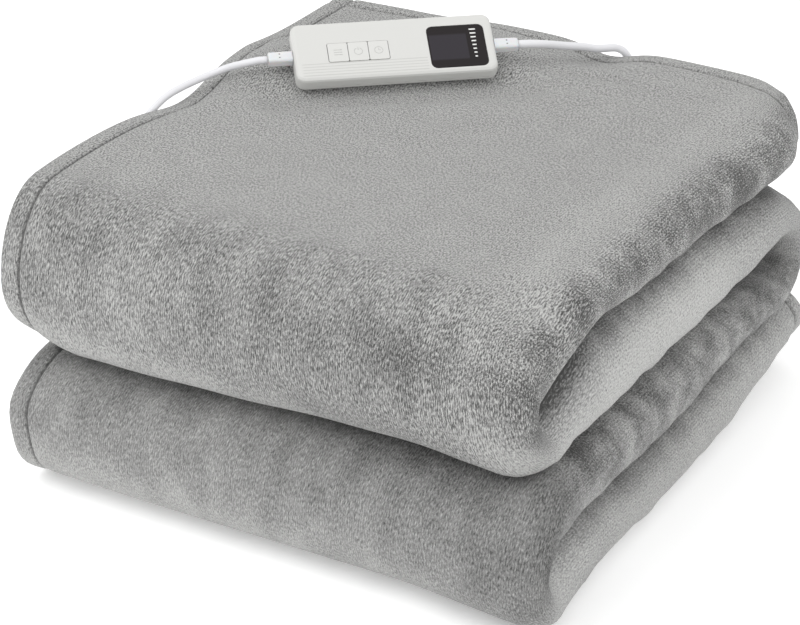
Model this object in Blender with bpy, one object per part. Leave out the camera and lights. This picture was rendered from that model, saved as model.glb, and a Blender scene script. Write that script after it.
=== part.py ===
"""Electric heated blanket, folded for storage, with its handset and cords.

One flannel sheet is folded in four across (four layers to a leaf) and then back and
forth into four leaves, so its hems lie at -X and at +Y, its long folded edge at +X and
two rounded folds at the front, -Y. The handset lies on the top leaf. Metres, +Z up.
"""
import math

import bmesh
import bpy
import numpy as np
from mathutils import Matrix, Vector

FIT = 0.0003                # gap between pieces that touch

# ---- blanket --------------------------------------------------------------
FOOT_X = 0.375              # folded width, from the hems to the folded edge
FOOT_Y = 0.407              # folded depth, from the front folds to the rear hems
CLOTH = 0.0085              # two plies of flannel with their pile
LEAF = 0.0477               # one leaf: four layers of cloth with air between them
LEAF_GAP = 0.0030           # air between two leaves
PITCH = LEAF + LEAF_GAP
HEIGHT = 4 * LEAF + 3 * LEAF_GAP
TURN = PITCH / 2            # radius of the front and rear folds at mid-leaf
OUTER_FOLD = (LEAF - CLOTH) / 2     # mid-cloth radius of the folded edge at +X
INNER_FOLD = OUTER_FOLD / 3         # mid-cloth radius of the two folds inside a leaf
HEM_STEP = 0.006            # the inner hem lies this far inside the outer one
FOLD_CLEAR = 0.004          # between the outer and the inner fold at +X
HEM_ROUND = 0.003           # a hem's edge rounds out this far past its last full section
HEM_PINCH = 0.45            # thickness left at that rounded edge

# Where the leaves lie on each other: heights at the stack's four corners.
LEAF_TOPS = (
    # left front, right front, left rear, right rear
    (0.041, 0.048, 0.045, 0.067),   # leaf 4, the lowest
    (0.086, 0.099, 0.093, 0.102),   # leaf 3
    (0.148, 0.170, 0.150, 0.164),   # leaf 2
    (0.207, 0.209, 0.204, 0.205),   # leaf 1, the top
)
CROWN = 0.002               # rise of the top leaf at its middle
HEM_LIFT = 0.018            # leaf 2's underside rises this far at its front hem corner
HEM_DIP = 0.005             # and leaf 3's top sinks this far below it
REAR_DROP = 0.016           # leaf 2's top sinks this far at the rear end of its folded edge
# At the folded end each front fold's middle is drawn forward: where it was (y, z), how far
# it moves, and how far the pull reaches in front, behind, above and below.
UPPER_PULL = ((-0.154, 0.175), (-0.039, -0.022), (0.0495, 0.028, 0.060, 0.070))
LOWER_PULL = ((-0.154, 0.048), (-0.036, 0.012), (0.0495, 0.040, 0.050, 0.046))
LIFT = (0.0, 0.30, 0.68, 1.0)       # share of a lift in the top leaf that each layer takes

# ---- handset --------------------------------------------------------------
HANDSET_LENGTH = 0.138
HANDSET_WIDTH = 0.0480
BACK_SHELL = 0.0042         # depth of the back half shell
FRONT_SHELL = 0.0085        # depth of the front half shell
FACE = BACK_SHELL + FIT + FRONT_SHELL   # height of the face over the underside
HANDSET_CORNER = 0.0062
EDGE_ROUND = 0.0030         # rounding of the face's long upper edge and its ends
LOW_ROUND = 0.0040          # rounding of its long lower edge
HANDSET_SEAT = (-0.0800, 0.0975, 0.2185)    # middle of its underside
SEAT_AIR = 0.0040           # between its underside and the cloth it presses down
HANDSET_TURN = math.radians(39.0)
HANDSET_TILT = math.radians(30.0)

BUTTON = (0.0135, 0.0154, 0.0024)       # width, height, thickness
BUTTON_GAP = 0.0004
BUTTON_PROUD = 0.0003
BUTTON_ROW = (-0.0248, -0.0025)         # middle of the row on the face
BUTTONS = ("button_heat", "button_power", "button_timer")
WELL_DEPTH = 0.0033
WINDOW = (0.0390, 0.0350, 0.0008)       # display window: width, height, thickness
WINDOW_PLACE = (0.0431, -0.0030)
WINDOW_CORNER = 0.0040
WINDOW_SUNK = 0.0001

RELIEF_LENGTH = 0.0165
RELIEF_ROWS = (
    # share of its length, half width, half height, corner
    (0.0, 0.0042, 0.0038, 0.0018), (0.90, 0.0041, 0.0037, 0.0018), (1.0, 0.0037, 0.0033, 0.0016),
)

# ---- cords ----------------------------------------------------------------
MAINS_WIDTH = 0.0056
LEAD_WIDTH = 0.0050
SEAT_LIFT = 0.0003          # a cord's underside over what it lies on

COIL_MIDDLE = (-0.0069, 0.2900)
COIL_COLUMNS = 4
COIL_LAYERS = 2
COIL_RADIUS = 0.0320        # at the middle of its turns

# Routes, from the handset outward, through points on the cord's middle line
RELIEF_HEIGHT = 0.0065      # of the cords' middle line over the handset's underside
RELIEF_STRAIGHT = 0.0060    # a cord's first straight length beyond its relief
BLANKET_LEAD = (
    # x, y, z; the first points are set by the relief
    (-0.1625, 0.0330, 0.2198), (-0.1720, 0.0318, 0.2157), (-0.1800, 0.0270, 0.2120),
    (-0.1865, 0.0185, 0.2092), (-0.1917, 0.0070, 0.2070), (-0.1965, -0.0045, 0.2038),
    (-0.2003, -0.0155, 0.1980), (-0.2038, -0.0240, 0.1900), (-0.2062, -0.0295, 0.1795),
    (-0.2078, -0.0325, 0.1670), (-0.2088, -0.0340, 0.1540), (-0.2095, -0.0345, 0.1200),
    (-0.2095, -0.0345, 0.0430), (-0.2095, -0.0290, 0.0190), (-0.2098, -0.0140, 0.0062),
    (-0.2100, 0.0060, 0.0028), (-0.2092, 0.0240, 0.0045), (-0.2078, 0.0441, 0.0090),
)
MAINS_LEAD = (
    # x, y, z; the first points are set by the relief
    (0.0005, 0.1625, 0.2219), (0.0035, 0.1715, 0.2188), (0.0072, 0.1820, 0.2151),
    (0.0112, 0.1910, 0.2122), (0.0155, 0.1990, 0.2098), (0.0198, 0.2065, 0.2068),
    (0.0240, 0.2145, 0.2050), (0.0276, 0.2232, 0.2029), (0.0303, 0.2318, 0.1974),
    (0.0322, 0.2382, 0.1880), (0.0331, 0.2418, 0.1760), (0.0335, 0.2430, 0.1600),
    (0.0335, 0.2430, 0.1000), (0.0335, 0.2420, 0.0420), (0.0335, 0.2445, 0.0220),
    (0.0335, 0.2520, 0.0090), (0.0335, 0.2620, 0.0034), (0.0335, 0.2670, 0.0031),
)
MAINS_TAIL = ((-0.0315, 0.3304, 0.0084), (-0.0459, 0.3304, 0.0080), (-0.0589, 0.3304, 0.0073),
              (-0.0709, 0.3304, 0.0070))
CONNECTOR_BOX = ((-0.2190, 0.045, 0.0020), (-0.1965, 0.0847, 0.0160))
SOCKET_BOX = ((-0.2200, 0.085, 0.0010), (-0.1938, 0.1150, 0.0170))
PLUG_BACK = (-0.0713, 0.3304, 0.0070)
PLUG_ROWS = (
    # along, half width, half height, corner
    (0.000, 0.0042, 0.0042, 0.0030), (0.008, 0.0048, 0.0048, 0.0034), (0.014, 0.0085, 0.0060, 0.0040),
    (0.021, 0.0150, 0.0067, 0.0045), (0.033, 0.0176, 0.0069, 0.0045), (0.036, 0.0168, 0.0062, 0.0040),
)
PIN_SPACING = 0.0186
PIN_RADIUS = 0.0020
PIN_LENGTH = 0.0190

MIDDLE_SHIFT = (0.0012, -0.0058, 0.0)   # puts the blanket's middle over the frame's origin

# ---- scene reset ----------------------------------------------------------
for old in list(bpy.data.objects):
    bpy.data.objects.remove(old, do_unlink=True)


# ---- shared helpers -------------------------------------------------------
def finish_material(name, colour, roughness, metallic=0.0):
    material = bpy.data.materials.new(name)
    material.use_nodes = True
    shader = material.node_tree.nodes["Principled BSDF"]
    shader.inputs["Base Color"].default_value = (*colour, 1.0)
    shader.inputs["Roughness"].default_value = roughness
    shader.inputs["Metallic"].default_value = metallic
    material.diffuse_color = (*colour, 1.0)
    return material


def add_mesh(name, points, faces, material, triangles=False):
    mesh = bpy.data.meshes.new(name)
    mesh.from_pydata([tuple(map(float, p)) for p in points], [], faces)
    work = bmesh.new()
    work.from_mesh(mesh)
    if triangles:
        bmesh.ops.triangulate(work, faces=work.faces)
    bmesh.ops.recalc_face_normals(work, faces=work.faces)
    work.to_mesh(mesh)
    work.free()
    mesh.materials.append(material)
    mesh.shade_smooth()
    mesh.set_sharp_from_angle(angle=math.radians(35))
    thing = bpy.data.objects.new(name, mesh)
    bpy.context.collection.objects.link(thing)
    return thing


def loft(name, rings, material):
    """A closed body through rings of points, all with the same count, capped at both ends."""
    count = len(rings[0])
    points = [p for ring in rings for p in ring]
    faces = []
    for row in range(len(rings) - 1):
        for k in range(count):
            a, b = row * count + k, row * count + (k + 1) % count
            faces.append((a, b, b + count, a + count))
    faces.append(tuple(range(count)))
    last = (len(rings) - 1) * count
    faces.append(tuple(last + k for k in range(count)))
    return add_mesh(name, points, faces, material)


def rounded_rectangle(left, right, low, high, corner, steps=5):
    """Corner points of a rounded rectangle, anticlockwise."""
    points = []
    for x, y, start in ((right, high, 0), (left, high, 90), (left, low, 180), (right, low, 270)):
        cx = x - math.copysign(corner, x - (left + right) / 2)
        cy = y - math.copysign(corner, y - (low + high) / 2)
        for k in range(steps + 1):
            turn = math.radians(start + 90 * k / steps)
            points.append((cx + corner * math.cos(turn), cy + corner * math.sin(turn)))
    return points


def turned(name, rows, sides, place, material):
    """Body of revolution about local +X: rows are (distance along X, radius)."""
    rings = []
    for along, radius in rows:
        ring = []
        for k in range(sides):
            turn = 2 * math.pi * (k + 0.5) / sides
            ring.append(place @ Vector((along, radius * math.cos(turn), radius * math.sin(turn))))
        rings.append(ring)
    return loft(name, rings, material)


# ---- the folded sheet -----------------------------------------------------
def ease(x, low, high):
    """0 below low, 1 above high, and a smooth step between."""
    t = np.clip((x - low) / (high - low), 0.0, 1.0)
    return t * t * (3.0 - 2.0 * t)


def hump(x, middle, reach):
    """1 at the middle, dying away over the reach."""
    return np.exp(-((x - middle) / reach) ** 2)


def section_steps():
    """One leaf's layers, from its outer hem: length of each run, then radius and side of its fold."""
    outer = FOOT_X / 2 - CLOTH / 2 - OUTER_FOLD
    inner = FOOT_X / 2 - 1.5 * CLOTH - FOLD_CLEAR - INNER_FOLD
    near_hem = -FOOT_X / 2 + CLOTH / 2 + INNER_FOLD + HEM_STEP
    return ((outer + FOOT_X / 2, OUTER_FOLD, -1), (outer - near_hem, INNER_FOLD, -1),
            (inner - near_hem, INNER_FOLD, 1), (inner + FOOT_X / 2 - HEM_STEP, 0.0, 0))


def leaf_steps():
    """The leaves, from the top one's rear hem: length of each run, then radius and side of its fold."""
    end = FOOT_Y - (LEAF / 2 + TURN)
    middle = end - (LEAF / 2 + TURN)
    return ((end, TURN, 1), (middle, TURN, -1), (middle, TURN, 1), (end, 0.0, 0))


def path_length(steps):
    return sum(run + math.pi * radius for run, radius, side in steps)


def walk(start, heading, steps, lengths):
    """Points and left-hand normals along straight runs that end in half-round folds."""
    place = np.array(start, float)
    points = np.zeros((len(lengths), 2))
    normals = np.zeros((len(lengths), 2))
    done = 0.0
    for run, radius, side in steps:
        ahead = np.array([math.cos(heading), math.sin(heading)])
        left = np.array([-ahead[1], ahead[0]])
        here = (lengths > done - 1e-9) | (done == 0.0)
        points[here] = place + (lengths[here] - done)[:, None] * ahead
        normals[here] = left
        place = place + run * ahead
        done += run
        if radius > 0.0:
            here = lengths > done
            turn = ((lengths[here] - done) / radius)[:, None]
            centre = place + side * radius * left
            away = np.cos(turn) * (-side * left) + np.sin(turn) * ahead
            points[here] = centre + radius * away
            normals[here] = -side * away
            place = centre + side * radius * left
            heading += side * math.pi
            done += math.pi * radius
    return points, normals


def level_heights(x, y):
    """Heights of the floor and of the four leaf tops over the plan."""
    right = np.clip(x / FOOT_X + 0.5, 0.0, 1.0)
    rear = np.clip(y / FOOT_Y + 0.5, 0.0, 1.0)
    levels = [np.zeros_like(x)]
    for left_front, right_front, left_rear, right_rear in LEAF_TOPS:
        front_height = left_front + (right_front - left_front) * right
        rear_height = left_rear + (right_rear - left_rear) * right
        levels.append(front_height + (rear_height - front_height) * rear)
    # at the folded end the creases sag between the corners and rise towards the front folds
    folded_end = ease(x, 0.06, 0.17)
    levels[3] += folded_end * 0.008 * hump(y, -0.125, 0.045)
    front = ease(-y, 0.130, 0.185)
    levels[2] += front * (0.012 * ease(x, 0.150, 0.190) - 0.005 * hump(x, 0.140, 0.040))
    levels[1] -= folded_end * 0.011 * hump(y, 0.000, 0.080)
    half_x = np.clip(x / FOOT_X, -0.5, 0.5) * math.pi
    half_y = np.clip(y / FOOT_Y, -0.5, 0.5) * math.pi
    levels[4] += CROWN * np.cos(half_x) * np.cos(half_y)
    return np.stack(levels)


def settle(points):
    """Leaves of even thickness sink to the heights that the stack's weight gives them."""
    even = np.arange(5) * PITCH - LEAF_GAP * np.array([0.0, 0.5, 0.5, 0.5, 1.0])
    levels = level_heights(points[..., 0], points[..., 1])
    z = points[..., 2]
    leaf = np.clip(np.searchsorted(even, z, side="right") - 1, 0, 3)
    share = (z - even[leaf]) / (even[leaf + 1] - even[leaf])
    low = np.take_along_axis(levels, leaf[None], 0)[0]
    high = np.take_along_axis(levels, leaf[None] + 1, 0)[0]
    hem_front = ease(-points[..., 0], 0.145, 0.200) * ease(-points[..., 1], 0.130, 0.190)
    fold_rear = ease(points[..., 0], 0.110, 0.175) * ease(points[..., 1], 0.120, 0.190)
    low = low + HEM_LIFT * (leaf == 2) * hem_front
    high = high - REAR_DROP * (leaf == 2) * fold_rear - HEM_DIP * (leaf == 1) * hem_front
    points[..., 2] = low + (high - low) * share
    return levels[4]


def pinch(points, hub, shift, reach):
    """At the folded end, a front fold's middle is drawn to the front corner; its outside stays."""
    front, behind, above, below = reach
    gate = ease(points[..., 0], 0.115, 0.172)
    away_y, away_z = points[..., 1] - hub[0], points[..., 2] - hub[1]
    away = np.hypot(away_y / np.where(away_y < 0, front, behind), away_z / np.where(away_z < 0, below, above))
    pull = np.clip(1.0 - away, 0.0, 1.0) * gate
    points[..., 1] += shift[0] * pull
    points[..., 2] += shift[1] * pull


def spread(points):
    """Plan outline of the stack: drawn-in corners, a bowed rear edge, tiers a little out of line.

    Heights gate each term: the sole on the floor, the brow of the lower tier, the upper tier
    and the top, and the notches where the rear ends of the leaves part.
    """
    x, y, z = (points[..., k].copy() for k in range(3))
    upper = ease(z, 0.085, 0.125)
    top = ease(z, 0.15, 0.19)
    sole = 1.0 - ease(z, 0.0, 0.050)
    notches = hump(z, 0.062, 0.012) + 1.2 * hump(z, 0.152, 0.014)
    brow = ease(z, 0.035, 0.065) * (1.0 - upper)
    left, right = ease(-x, 0.08, 0.1875), ease(x, 0.08, 0.18)
    front, rear = ease(-y, 0.10, 0.2035), ease(y, 0.05, 0.20)
    corner = ease(y, 0.13, 0.2035) * ease(x, 0.12, 0.1875)
    points[..., 0] += 0.008 * ease(y, 0.0, 0.2) * ease(x, 0.0, 0.18) - 0.018 * corner ** 2 * top
    points[..., 0] += right * (0.012 * front - 0.018 * sole * ease(y, 0.06, 0.19)) * (1.0 - upper)
    points[..., 0] += 0.003 * right * (1.0 - upper) * ease(-y, -0.10, 0.0) - corner * (0.010 * notches + 0.005 * (1.0 - top))
    points[..., 0] -= left * (0.010 * upper * hump(y, -0.11, 0.10) + 0.002 + 0.006 * brow)
    points[..., 1] += rear * (0.016 * hump(x, 0.05, 0.15) + 0.004) - 0.008 * corner * (1 + 1.2 * top)
    points[..., 1] += (0.002 + 0.002 * upper) * left * front - 0.002 * (1 - upper) * front
    points[..., 1] -= 0.010 * (1 - upper) * right * front


def handset_axes():
    """Its length, the way up its face, and the face's normal."""
    flat = Matrix.Rotation(HANDSET_TURN, 3, "Z")
    tilted = flat @ Matrix.Rotation(HANDSET_TILT, 3, "X")
    return tilted.col[0], tilted.col[1], tilted.col[2]


def lift_and_press(points, top_height, weight):
    """The handset's swell and the seat it presses, the left hem's droop, and the mains lead's notch."""
    x, y = points[..., 0], points[..., 1]
    seat_x, seat_y, seat_z = HANDSET_SEAT
    along = (x - seat_x) * math.cos(HANDSET_TURN) + (y - seat_y) * math.sin(HANDSET_TURN)
    across = -(x - seat_x) * math.sin(HANDSET_TURN) + (y - seat_y) * math.cos(HANDSET_TURN)
    behind = across - 0.020
    swell = 0.0205 * np.exp(-(behind / np.where(behind > 0, 0.044, 0.026)) ** 2)
    swell = swell * np.exp(-(along / np.where(along < 0, 0.104, 0.088)) ** 4)
    droop = 0.0085 * ease(-x, 0.158, 0.190) * hump(y, 0.006, 0.040)
    notch = 0.0085 * hump(x, 0.024, 0.024) * ease(y, 0.165, 0.210)
    half_width = HANDSET_WIDTH / 2 * math.cos(HANDSET_TILT)
    underside = seat_z + np.clip(across, -half_width, half_width) * math.tan(HANDSET_TILT)
    sides = ease(HANDSET_LENGTH / 2 + 0.034 - np.abs(along), 0.0, 0.016)
    ends = ease(half_width + 0.036 - np.abs(across), 0.0, 0.016)
    pressed = np.maximum(top_height + swell - (underside - SEAT_AIR), 0.0) * sides * ends
    points[..., 2] += weight * (swell - droop - notch - pressed)


def sheet_points(across, depths, along):
    """Points of the sheet: lengths across one leaf, depths from mid-cloth, lengths along the leaves."""
    section, section_normal = walk((-FOOT_X / 2, OUTER_FOLD), 0.0, section_steps(), across)
    leaf, leaf_normal = walk((FOOT_Y / 2, HEIGHT - LEAF / 2), math.pi, leaf_steps(), along)
    rise = np.broadcast_to(1.0, (len(along), 1))
    x = rise * (section[:, 0] + section_normal[:, 0] * depths)[None]
    level = rise * (section[:, 1] + section_normal[:, 1] * depths)[None]
    step = LEAF / 2 + np.array([-OUTER_FOLD, -INNER_FOLD, INNER_FOLD, OUTER_FOLD])
    share = np.interp(level + LEAF / 2, np.stack([step - CLOTH / 2, step + CLOTH / 2], 1).ravel(),
                      np.repeat(LIFT, 2))
    # the rear fold stays open: its layers are pressed outward
    runs = leaf_steps()
    fold_middle = runs[0][0] + math.pi * TURN + runs[1][0] + math.pi * TURN / 2
    hollow = hump(along, fold_middle, 0.075)[:, None] * (0.12 + 0.22 * ease(x, 0.0, 0.17))
    level = -LEAF / 2 + (level + LEAF / 2) * (1.0 - hollow)
    points = np.stack([x, leaf[:, None, 0] - leaf_normal[:, None, 0] * level,
                       leaf[:, None, 1] - leaf_normal[:, None, 1] * level], -1)
    top_leaf = ease(points[..., 2], HEIGHT - LEAF - LEAF_GAP, HEIGHT - LEAF)
    top_height = settle(points)
    pinch(points, *UPPER_PULL)
    pinch(points, *LOWER_PULL)
    spread(points)
    lift_and_press(points, top_height, share * top_leaf)
    return points


def stations(steps, runs, fold_segments):
    """Lengths at which a path is sampled: each run's own shares, then each fold's equal steps."""
    lengths = []
    done = 0.0
    for (run, radius, side), shares, segments in zip(steps, runs, fold_segments):
        lengths.extend(done + run * share for share in shares)
        done += run
        if radius > 0.0:
            lengths.extend(done + math.pi * radius * k / segments for k in range(segments))
            done += math.pi * radius
    return np.array(lengths + [done])


def even_shares(count):
    return [k / count for k in range(count)]


def build_blanket(material):
    fine = [0.0, 0.035, 0.09, 0.16, 0.23, 0.30, 0.37, 0.44, 0.52, 0.58, 0.64, 0.76, 0.88]
    coarse = even_shares(7)
    under = [0.0, 0.14, 0.28, 0.35, 0.41, 0.48, 0.56, 0.64, 0.72, 0.80, 0.90]
    across = stations(section_steps(), (fine, coarse, coarse, under), (8, 5, 5, 0))
    top_run = [0.0, 0.035, 0.09, 0.14, 0.19, 0.24, 0.29, 0.345, 0.40, 0.48, 0.62, 0.74, 0.845, 0.935]
    second = [0.0, 0.07, 0.17, 0.30, 0.65]
    third = [0.0, 0.35, 0.70, 0.83, 0.93]
    lowest = [0.0, 0.06, 0.147, 0.26, 0.60]
    along = stations(leaf_steps(), (top_run, second, third, lowest), (6, 6, 6, 0))
    end = path_length(section_steps())
    ring_across = np.concatenate([across, [end + HEM_ROUND], across[::-1], [-HEM_ROUND]])
    count = len(across)
    half = np.full(count, CLOTH / 2)
    ring_depth = np.concatenate([half, [0.0], -half, [0.0]])
    last = path_length(leaf_steps())
    body = sheet_points(ring_across, ring_depth, along)
    ends = sheet_points(ring_across, ring_depth * HEM_PINCH, np.array([-HEM_ROUND, last + HEM_ROUND]))
    grid = np.concatenate([ends[:1], body, ends[1:]])
    rows, ring = grid.shape[:2]
    faces = []
    for row in range(rows - 1):
        for k in range(ring):
            a, b = row * ring + k, row * ring + (k + 1) % ring
            faces.append((a, b, b + ring, a + ring))
    for base in (0, (rows - 1) * ring):
        mirror = [(k, (2 * count - k) % ring) for k in range(count)]
        for (a, a2), (b, b2) in zip(mirror[:-1], mirror[1:]):
            faces.append((base + a, base + b, base + b2, base + a2))
        faces.append((base, base + 2 * count, base + 2 * count + 1))
        faces.append((base + count - 1, base + count, base + count + 1))
    return add_mesh("blanket", grid.reshape(-1, 3), faces, material, triangles=True)


# ---- handset --------------------------------------------------------------
def handset_frame():
    length, up, normal = handset_axes()
    frame = Matrix((length, up, normal)).transposed().to_4x4()
    frame.translation = Vector(HANDSET_SEAT)
    return frame


def handset_ring(inset, low_inset, height):
    half_x, half_y = HANDSET_LENGTH / 2, HANDSET_WIDTH / 2
    corner = max(HANDSET_CORNER - inset, 0.002)
    outline = rounded_rectangle(-half_x + inset, half_x - inset, -half_y + low_inset, half_y - inset, corner)
    return [Vector((x, y, height)) for x, y in outline]


def in_handset(rings):
    frame = handset_frame()
    return [[frame @ p for p in ring] for ring in rings]


def edge_rows(base, top, steps=3):
    """Rings of a half shell whose outer edge rounds over from base to top."""
    rings = [handset_ring(0.0, 0.0, base)]
    rise = math.copysign(1.0, top - base)
    for k in range(steps + 1):
        turn = math.radians(90.0 * k / steps)
        inset, low = EDGE_ROUND * (1 - math.cos(turn)), LOW_ROUND * (1 - math.cos(turn))
        rings.append(handset_ring(inset, low, top - rise * EDGE_ROUND * (1 - math.sin(turn))))
    return rings


def slab_rings(middle, size, corner, low, high):
    half_x, half_y = size[0] / 2, size[1] / 2
    outline = rounded_rectangle(middle[0] - half_x, middle[0] + half_x,
                                middle[1] - half_y, middle[1] + half_y, corner, steps=4)
    return [[Vector((x, y, height)) for x, y in outline] for height in (low, high)]


def cut(body, name, rings, material):
    """Sinks a pocket into a body with an exact Boolean."""
    cutter = loft(name, in_handset(rings), material)
    cutter.hide_render = True
    cutter.display_type = "WIRE"
    pocket = body.modifiers.new(name, "BOOLEAN")
    pocket.operation = "DIFFERENCE"
    pocket.solver = "EXACT"
    pocket.object = cutter


def build_handset(plastic, glass, key_plastic):
    back = edge_rows(BACK_SHELL, 0.0)
    loft("handset_back", in_handset(back), plastic)
    front = loft("handset_front", in_handset(edge_rows(BACK_SHELL + FIT, FACE)), plastic)

    row_width = len(BUTTONS) * BUTTON[0] + (len(BUTTONS) - 1) * BUTTON_GAP
    well = (row_width + 2 * BUTTON_GAP, BUTTON[1] + 2 * BUTTON_GAP)
    over = 0.002
    cut(front, "button_well", slab_rings(BUTTON_ROW, well, 0.0014, FACE - WELL_DEPTH, FACE + over), plastic)
    bed = (WINDOW[0] + 2 * FIT, WINDOW[1] + 2 * FIT)
    window_floor = FACE - WINDOW_SUNK - WINDOW[2] - FIT
    cut(front, "window_bed", slab_rings(WINDOW_PLACE, bed, WINDOW_CORNER + FIT, window_floor, FACE + over), plastic)

    window = slab_rings(WINDOW_PLACE, WINDOW, WINDOW_CORNER, window_floor + FIT, FACE - WINDOW_SUNK)
    loft("display_window", in_handset(window), glass)

    top = FACE + BUTTON_PROUD
    for index, name in enumerate(BUTTONS):
        offset = (index - (len(BUTTONS) - 1) / 2) * (BUTTON[0] + BUTTON_GAP)
        middle = (BUTTON_ROW[0] + offset, BUTTON_ROW[1])
        key = loft(name, in_handset(slab_rings(middle, BUTTON, 0.0010, top - BUTTON[2], top)), key_plastic)
        settle_origin(key, handset_frame() @ Vector((*middle, top)))


def settle_origin(thing, place):
    """Puts an object's origin on its joint's axis without moving its surface."""
    thing.data.transform(Matrix.Translation(-place))
    thing.location = place


def relief_exit(side):
    """Two points on a cord's middle line where it leaves its strain relief squarely."""
    reach = HANDSET_LENGTH / 2 + RELIEF_LENGTH + 2 * FIT
    return [tuple(handset_frame() @ Vector((side * (reach + step), 0.0, RELIEF_HEIGHT)))
            for step in (0.0, RELIEF_STRAIGHT)]


def build_reliefs(rubber):
    for name, side in (("relief_left", -1), ("relief_right", 1)):
        place = handset_frame() @ Matrix.Translation((side * (HANDSET_LENGTH / 2 + FIT), 0.0, RELIEF_HEIGHT))
        if side < 0:
            place = place @ Matrix.Rotation(math.pi, 4, "Z")
        rings = []
        for share, half_width, half_height, corner in RELIEF_ROWS:
            outline = rounded_rectangle(-half_width, half_width, -half_height, half_height, corner, steps=3)
            rings.append([place @ Vector((share * RELIEF_LENGTH, y, z)) for y, z in outline])
        loft(name, rings, rubber)


# ---- cords ----------------------------------------------------------------
def smooth_route(route, spacing):
    """A curve through the route's points, resampled at an even spacing."""
    points = [Vector(p) for p in route]
    ends = [2 * points[0] - points[1]] + points + [2 * points[-1] - points[-2]]
    dense = []
    for p0, p1, p2, p3 in zip(ends, ends[1:], ends[2:], ends[3:]):
        knots = [0.0]
        for a, b in ((p0, p1), (p1, p2), (p2, p3)):
            knots.append(knots[-1] + max((b - a).length, 1e-6) ** 0.5)
        t0, t1, t2, t3 = knots
        for k in range(24):
            t = t1 + (t2 - t1) * k / 24
            a1 = p0.lerp(p1, (t - t0) / (t1 - t0))
            a2 = p1.lerp(p2, (t - t1) / (t2 - t1))
            a3 = p2.lerp(p3, (t - t2) / (t3 - t2))
            b1 = a1.lerp(a2, (t - t0) / (t2 - t0))
            b2 = a2.lerp(a3, (t - t1) / (t3 - t1))
            dense.append(b1.lerp(b2, (t - t1) / (t2 - t1)))
    dense.append(points[-1])
    lengths = [0.0]
    for a, b in zip(dense, dense[1:]):
        lengths.append(lengths[-1] + (b - a).length)
    count = max(2, round(lengths[-1] / spacing))
    wanted = [lengths[-1] * k / count for k in range(count + 1)]
    return [Vector([float(np.interp(w, lengths, [p[axis] for p in dense])) for axis in range(3)])
            for w in wanted]


def build_tube(name, route, width, material):
    points = [Vector(route[0])] + smooth_route(route[1:], 2.5 * width)
    curve = bpy.data.curves.new(name, "CURVE")
    curve.dimensions = "3D"
    curve.bevel_depth = width / 2
    curve.bevel_resolution = 2
    curve.use_fill_caps = True
    spline = curve.splines.new("POLY")
    spline.points.add(len(points) - 1)
    for slot, point in zip(spline.points, points):
        slot.co = (*point, 1.0)
    curve.materials.append(material)
    thing = bpy.data.objects.new(name, curve)
    bpy.context.collection.objects.link(thing)
    return thing


def build_coil(material):
    half_band = COIL_COLUMNS * MAINS_WIDTH / 2
    inner, outer = COIL_RADIUS - half_band, COIL_RADIUS + half_band
    top = COIL_LAYERS * MAINS_WIDTH
    chamfer = 0.0012
    profile = ((inner, chamfer), (inner + chamfer, 0.0), (outer - chamfer, 0.0), (outer, chamfer),
               (outer, top - chamfer), (outer - chamfer, top), (inner + chamfer, top), (inner, top - chamfer))
    sides = 40
    points = []
    faces = []
    for side in range(sides):
        turn = 2 * math.pi * side / sides
        for radius, height in profile:
            points.append((COIL_MIDDLE[0] + radius * math.cos(turn),
                           COIL_MIDDLE[1] + radius * math.sin(turn), height))
        for k in range(len(profile)):
            a = side * len(profile) + k
            b = side * len(profile) + (k + 1) % len(profile)
            shift = len(profile)
            wrap = len(profile) * sides
            faces.append((a, b, (b + shift) % wrap, (a + shift) % wrap))
    return add_mesh("mains_coil", points, faces, material)


def build_plug(plastic, brass):
    """A flat two-pin plug that lies beside the coil, its pins pointing towards -X."""
    place = Matrix.Translation(PLUG_BACK) @ Matrix.Rotation(math.pi, 4, "Z")
    rings = []
    for along, half_width, half_height, corner in PLUG_ROWS:
        outline = rounded_rectangle(-half_width, half_width, -half_height, half_height, corner, steps=3)
        rings.append([place @ Vector((along, y, z)) for y, z in outline])
    loft("plug_body", rings, plastic)
    for name, side in (("plug_pin_a", -1), ("plug_pin_b", 1)):
        root = place @ Matrix.Translation((PLUG_ROWS[-1][0] + FIT, side * PIN_SPACING / 2, 0.0))
        rows = [(0.0, PIN_RADIUS), (PIN_LENGTH - 0.001, PIN_RADIUS), (PIN_LENGTH, PIN_RADIUS - 0.0007)]
        turned(name, rows, 12, root, brass)


def build_block(name, low, high, corner, material):
    """A moulded block whose long edges, along Y, are rounded."""
    rings = []
    chamfer = 0.0012
    for y, inset in ((low[1], chamfer), (low[1] + chamfer, 0.0), (high[1] - chamfer, 0.0), (high[1], chamfer)):
        outline = rounded_rectangle(low[0] + inset, high[0] - inset, low[2] + inset, high[2] - inset,
                                    corner, steps=3)
        rings.append([Vector((x, y, z)) for x, z in outline])
    return loft(name, rings, material)


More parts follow.
